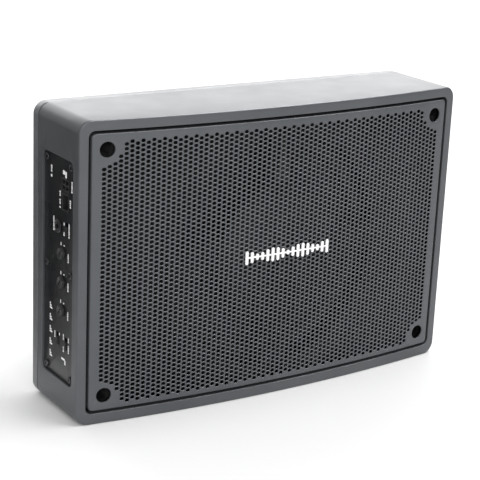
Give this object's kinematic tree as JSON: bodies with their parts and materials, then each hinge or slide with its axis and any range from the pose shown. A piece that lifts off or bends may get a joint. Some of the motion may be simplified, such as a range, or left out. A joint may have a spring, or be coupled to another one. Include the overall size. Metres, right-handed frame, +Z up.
{
  "type": "powered car subwoofer",
  "caption": "Shallow under-seat powered subwoofer: bowed perforated grille over a guarded driver, end panel with sockets, slotted knobs and slide switches, and a flat back cover.",
  "frame": {"origin": "middle of the flat base, halfway through the depth of the bowed cabinet", "axes": "+X right seen from the grille, +Y to the back, +Z up; the grille faces -Y and the control panel is on the -X end"},
  "size_m": [0.3408, 0.0885, 0.231],
  "materials": {
    "cast_shell": "satin dark charcoal with a fine texture",
    "grille_sheet": "satin charcoal powder coat",
    "mark": "white print",
    "panel_sheet": "semi-gloss black",
    "black_plastic": "moulded black",
    "knob_plastic": "moulded grey",
    "plated_steel": "zinc plated",
    "dark_steel": "black oxide",
    "aluminium": "extruded",
    "rubber": "matt",
    "cone_paper": "pressed pulp",
    "board": "solder mask",
    "ferrite": "sintered",
    "copper": "enamelled wire",
    "cloth": "woven, resin stiffened",
    "red_wire": "red sleeve"
  },
  "bodies": {
    "cabinet": {"amplifier_board": "board", "boost_potentiometer": "black_plastic", "capacitor_1": "black_plastic", "capacitor_2": "black_plastic", "control_panel": "panel_sheet", "cover_gasket": "rubber", "crossover_potentiometer": "black_plastic", "driver_basket": "dark_steel", "driver_gasket": "rubber", "driver_screw_1": "plated_steel", "driver_screw_2": "plated_steel", "driver_screw_3": "plated_steel", "driver_screw_4": "plated_steel", "driver_terminal": "black_plastic", "filter_switch_body": "black_plastic", "front_housing": "cast_shell", "grille": "grille_sheet", "grille_badge": "mark", "heat_sink": "aluminium", "inductor": "copper", "input_connector": "black_plastic", "input_switch_body": "black_plastic", "level_potentiometer": "black_plastic", "magnet": "ferrite", "panel_screw_1": "plated_steel", "panel_screw_2": "plated_steel", "panel_screw_3": "plated_steel", "panel_screw_4": "plated_steel", "panel_screw_5": "plated_steel", "panel_screw_6": "plated_steel", "phase_switch_body": "black_plastic", "pole_yoke": "plated_steel", "power_connector": "black_plastic", "rear_cover": "cast_shell", "remote_jack": "plated_steel", "shell_screw_1": "dark_steel", "shell_screw_2": "dark_steel", "shell_screw_3": "dark_steel", "shell_screw_4": "dark_steel", "speaker_lead_negative": "black_plastic", "speaker_lead_positive": "red_wire", "spider": "cloth", "surround": "rubber", "top_plate": "plated_steel", "transistor_1": "black_plastic", "transistor_2": "black_plastic"},
    "level_dial": {"level_knob": "knob_plastic", "level_shaft": "plated_steel"},
    "crossover_dial": {"crossover_knob": "knob_plastic", "crossover_shaft": "plated_steel"},
    "boost_dial": {"boost_knob": "knob_plastic", "boost_shaft": "plated_steel"},
    "phase_slider": {"phase_switch_slider": "plated_steel"},
    "filter_slider": {"filter_switch_slider": "plated_steel"},
    "input_slider": {"input_switch_slider": "plated_steel"},
    "cone_assembly": {"cone": "cone_paper", "dust_cap": "cone_paper", "coil_former": "aluminium", "voice_coil": "copper"}
  },
  "joints": [
    {"name": "level_turn", "type": "hinge", "parent": "cabinet", "child": "level_dial", "pos_m": [-0.171, -0.00415, 0.1266], "axis": [-1, 0, 0], "range_deg": [-150, 150]},
    {"name": "crossover_turn", "type": "hinge", "parent": "cabinet", "child": "crossover_dial", "pos_m": [-0.171, -0.00415, 0.10435], "axis": [-1, 0, 0], "range_deg": [-150, 150]},
    {"name": "boost_turn", "type": "hinge", "parent": "cabinet", "child": "boost_dial", "pos_m": [-0.171, -0.00415, 0.0821], "axis": [-1, 0, 0], "range_deg": [-150, 150]},
    {"name": "phase_slide", "type": "slide", "parent": "cabinet", "child": "phase_slider", "axis": [0, 0, 1], "range_m": [0, 0.0026]},
    {"name": "filter_slide", "type": "slide", "parent": "cabinet", "child": "filter_slider", "axis": [0, 0, 1], "range_m": [0, 0.0026]},
    {"name": "input_slide", "type": "slide", "parent": "cabinet", "child": "input_slider", "axis": [0, 0, 1], "range_m": [0, 0.0026]},
    {"name": "cone_travel", "type": "slide", "parent": "cabinet", "child": "cone_assembly", "axis": [0, -1, 0], "range_m": [-0.005, 0.005], "stiffness_N_per_m": 2500, "deforming": ["surround", "spider"]}
  ]
}
